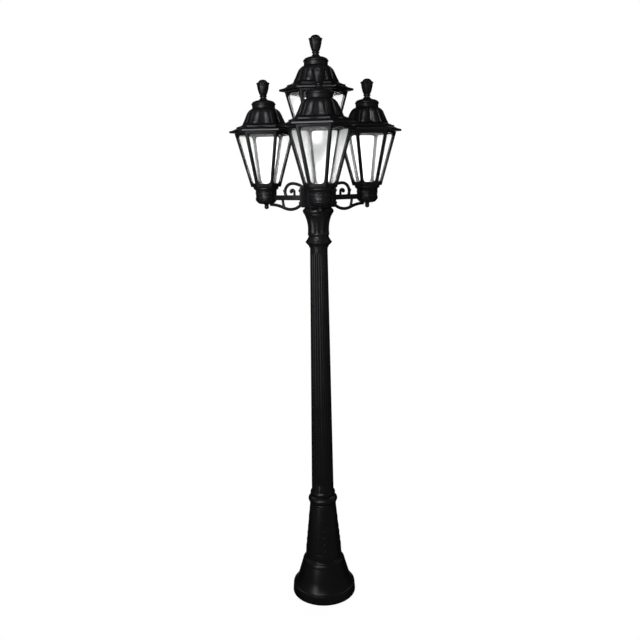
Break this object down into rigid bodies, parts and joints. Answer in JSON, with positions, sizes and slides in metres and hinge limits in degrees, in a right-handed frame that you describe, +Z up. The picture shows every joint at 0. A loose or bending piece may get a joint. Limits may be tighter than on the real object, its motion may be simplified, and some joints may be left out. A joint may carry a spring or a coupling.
{
  "type": "lamp post",
  "caption": "Black garden lamp post: bell-shaped plinth, fluted column and hexagonal lanterns with petal roofs, set round the column on scroll arms and one raised in the middle.",
  "frame": {"origin": "on the ground, on the column's axis, at the centre of the anchor holes", "axes": "+Z up the column; the front arm points along -Y, with +X to the right of someone who faces it"},
  "size_m": [0.6658, 0.5963, 2.2],
  "materials": {
    "black_cast_aluminium": "satin",
    "galvanised_steel": "matte",
    "zinc_plated_steel": "satin",
    "black_screw_steel": "satin",
    "clear_acrylic": "gloss",
    "gasket_rubber": "matte",
    "porcelain": "gloss"
  },
  "bodies": {
    "post": {"anchor_plate": "galvanised_steel", "core_tube": "galvanised_steel", "base_plinth": "black_cast_aluminium", "base_collar": "black_cast_aluminium", "column_shaft": "black_cast_aluminium", "neck_ring": "black_cast_aluminium", "column_capital": "black_cast_aluminium", "bracket_hub": "black_cast_aluminium", "hub_cap": "black_cast_aluminium", "centre_stem": "black_cast_aluminium", "top_seat": "black_cast_aluminium", "front_arm": "black_cast_aluminium", "right_arm": "black_cast_aluminium", "left_arm": "black_cast_aluminium", "arm_screws": "black_screw_steel", "front_drop_knob": "black_cast_aluminium", "right_drop_knob": "black_cast_aluminium", "left_drop_knob": "black_cast_aluminium", "front_nipple": "zinc_plated_steel", "front_lock_nut": "zinc_plated_steel", "front_lampholder": "porcelain", "right_nipple": "zinc_plated_steel", "right_lock_nut": "zinc_plated_steel", "right_lampholder": "porcelain", "left_nipple": "zinc_plated_steel", "left_lock_nut": "zinc_plated_steel", "left_lampholder": "porcelain", "top_nipple": "zinc_plated_steel", "top_lock_nut": "zinc_plated_steel", "top_lampholder": "porcelain"},
    "lantern_front": {"front_lantern_base": "black_cast_aluminium", "front_cage": "black_cast_aluminium", "front_diffuser": "clear_acrylic", "front_gasket": "gasket_rubber"},
    "roof_front": {"front_roof": "black_cast_aluminium", "front_roof_cap": "black_cast_aluminium"},
    "finial_front": {"front_finial": "black_cast_aluminium"},
    "lantern_right": {"right_lantern_base": "black_cast_aluminium", "right_cage": "black_cast_aluminium", "right_diffuser": "clear_acrylic", "right_gasket": "gasket_rubber"},
    "roof_right": {"right_roof": "black_cast_aluminium", "right_roof_cap": "black_cast_aluminium"},
    "finial_right": {"right_finial": "black_cast_aluminium"},
    "lantern_left": {"left_lantern_base": "black_cast_aluminium", "left_cage": "black_cast_aluminium", "left_diffuser": "clear_acrylic", "left_gasket": "gasket_rubber"},
    "roof_left": {"left_roof": "black_cast_aluminium", "left_roof_cap": "black_cast_aluminium"},
    "finial_left": {"left_finial": "black_cast_aluminium"},
    "lantern_top": {"top_lantern_base": "black_cast_aluminium", "top_cage": "black_cast_aluminium", "top_diffuser": "clear_acrylic", "top_gasket": "gasket_rubber"},
    "roof_top": {"top_roof": "black_cast_aluminium", "top_roof_cap": "black_cast_aluminium"},
    "finial_top": {"top_finial": "black_cast_aluminium"}
  },
  "joints": [
    {"name": "front_lantern_turn", "type": "hinge", "parent": "post", "child": "lantern_front", "pos_m": [0, -0.228, 1.634], "axis": [0, 0, 1], "range_deg": [-90, 90]},
    {"name": "front_roof_lift", "type": "slide", "parent": "lantern_front", "child": "roof_front", "axis": [0, 0, 1], "range_m": [0, 0.035]},
    {"name": "front_finial_screw", "type": "hinge", "parent": "roof_front", "child": "finial_front", "pos_m": [0, -0.228, 1.992], "axis": [0, 0, 1], "continuous": true},
    {"name": "right_lantern_turn", "type": "hinge", "parent": "post", "child": "lantern_right", "pos_m": [0.19745, 0.114, 1.634], "axis": [0, 0, 1], "range_deg": [-90, 90]},
    {"name": "right_roof_lift", "type": "slide", "parent": "lantern_right", "child": "roof_right", "axis": [0, 0, 1], "range_m": [0, 0.035]},
    {"name": "right_finial_screw", "type": "hinge", "parent": "roof_right", "child": "finial_right", "pos_m": [0.19745, 0.114, 1.992], "axis": [0, 0, 1], "continuous": true},
    {"name": "left_lantern_turn", "type": "hinge", "parent": "post", "child": "lantern_left", "pos_m": [-0.19745, 0.114, 1.634], "axis": [0, 0, 1], "range_deg": [-90, 90]},
    {"name": "left_roof_lift", "type": "slide", "parent": "lantern_left", "child": "roof_left", "axis": [0, 0, 1], "range_m": [0, 0.035]},
    {"name": "left_finial_screw", "type": "hinge", "parent": "roof_left", "child": "finial_left", "pos_m": [-0.19745, 0.114, 1.992], "axis": [0, 0, 1], "continuous": true},
    {"name": "top_lantern_turn", "type": "hinge", "parent": "post", "child": "lantern_top", "pos_m": [0, 0, 1.771], "axis": [0, 0, 1], "range_deg": [-90, 90]},
    {"name": "top_roof_lift", "type": "slide", "parent": "lantern_top", "child": "roof_top", "axis": [0, 0, 1], "range_m": [0, 0.15]},
    {"name": "top_finial_screw", "type": "hinge", "parent": "roof_top", "child": "finial_top", "pos_m": [0, 0, 2.129], "axis": [0, 0, 1], "continuous": true}
  ]
}
